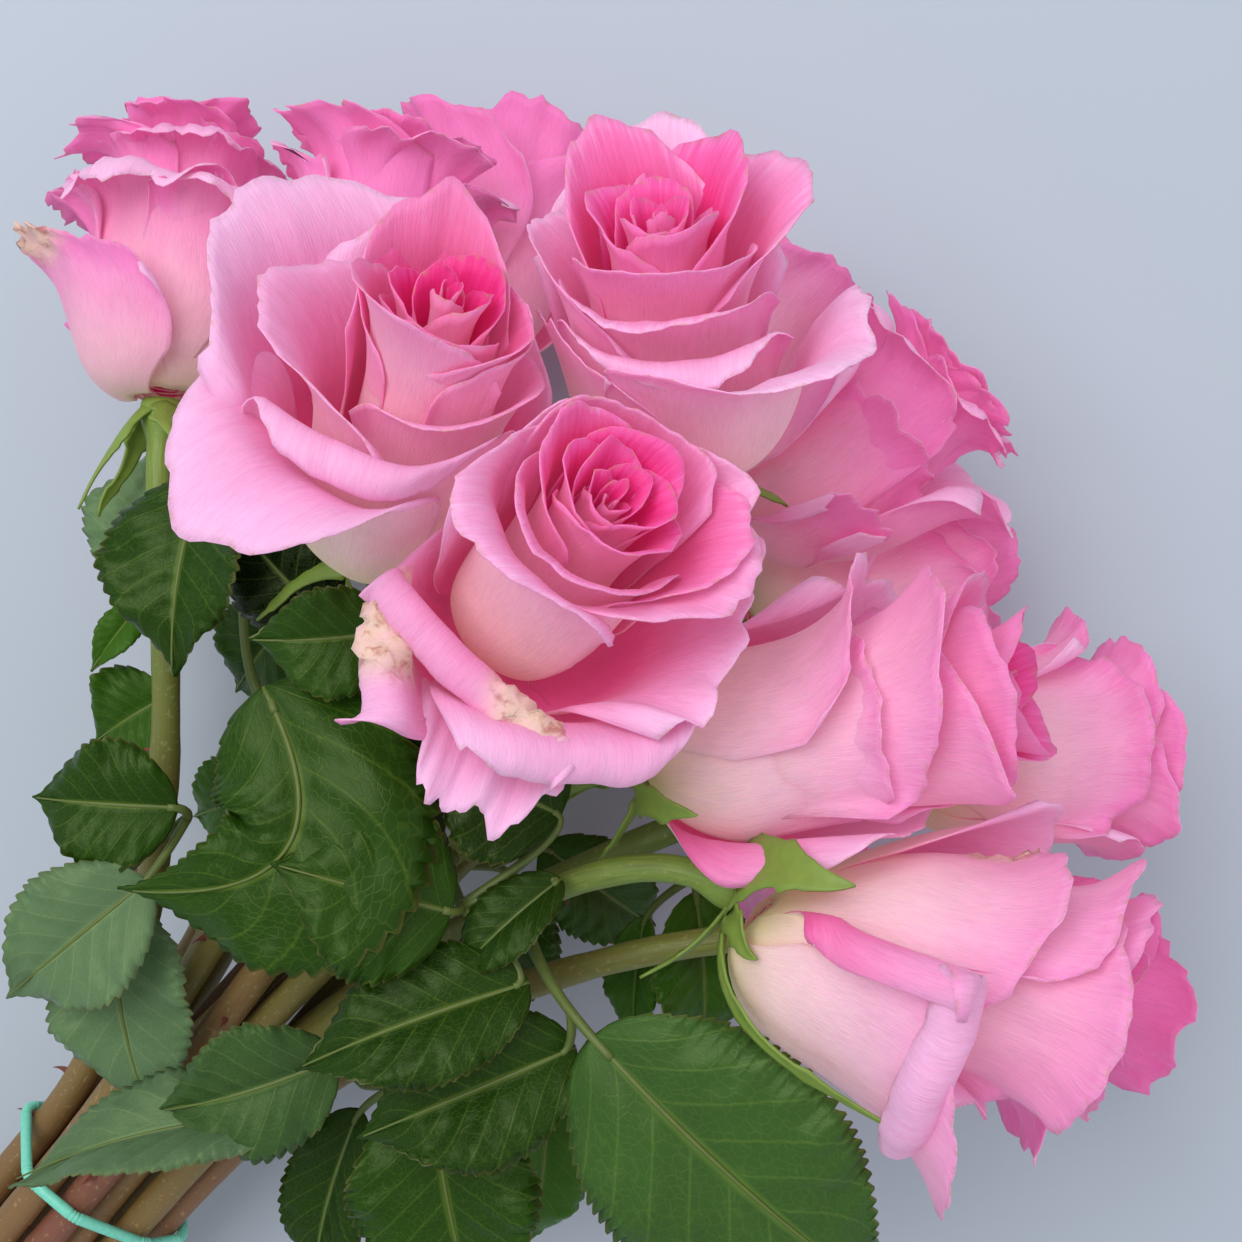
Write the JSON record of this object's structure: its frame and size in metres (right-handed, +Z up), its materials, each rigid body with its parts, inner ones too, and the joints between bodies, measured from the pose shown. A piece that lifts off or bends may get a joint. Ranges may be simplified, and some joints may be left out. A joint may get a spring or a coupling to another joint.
{
  "type": "bunch of roses",
  "caption": "Hand-tied bunch of large pink garden roses lying on its side, with serrated green leaves and an elastic cord round the stems.",
  "frame": {"origin": "centre of the bunch's box on the table that it lies on", "axes": "+X along the bunch from the cut ends to the blooms, +Y across it, +Z up"},
  "size_m": [0.4498, 0.3247, 0.1754],
  "materials": {
    "petal": "soft satin petals, pink with pale cream bases and deep pink folds",
    "stem": "smooth olive to brown bark with green necks and sepals",
    "leaf": "glossy dark green above, matt grey green below",
    "elastic": "matt mint elastic cord"
  },
  "bodies": {
    "root": {"rose_a_bloom": "petal", "rose_b_bloom": "petal", "rose_c_bloom": "petal", "rose_d_bloom": "petal", "rose_e_bloom": "petal", "rose_f_bloom": "petal", "rose_g_bloom": "petal", "rose_h_bloom": "petal", "rose_i_bloom": "petal", "rose_j_bloom": "petal", "rose_k_bloom": "petal", "rose_l_bloom": "petal", "rose_m_bloom": "petal", "rose_n_bloom": "petal", "rose_o_bloom": "petal", "rose_a_stem": "stem", "rose_b_stem": "stem", "rose_c_stem": "stem", "rose_d_stem": "stem", "rose_e_stem": "stem", "rose_f_stem": "stem", "rose_g_stem": "stem", "rose_h_stem": "stem", "rose_i_stem": "stem", "rose_j_stem": "stem", "rose_k_stem": "stem", "rose_l_stem": "stem", "rose_m_stem": "stem", "rose_n_stem": "stem", "rose_o_stem": "stem", "leaf_front_curled": "leaf", "leaf_left_low": "leaf", "leaf_left_edge": "leaf", "leaf_middle": "leaf", "leaf_right_large": "leaf", "leaf_bottom": "leaf", "leaf_right_hanging": "leaf", "leaf_left_upper": "leaf", "leaf_under_b": "leaf", "leaf_back_left": "leaf", "leaf_below_left": "leaf", "leaf_below_middle": "leaf", "leaf_below_right": "leaf", "elastic_tie": "elastic"}
  },
  "joints": []
}
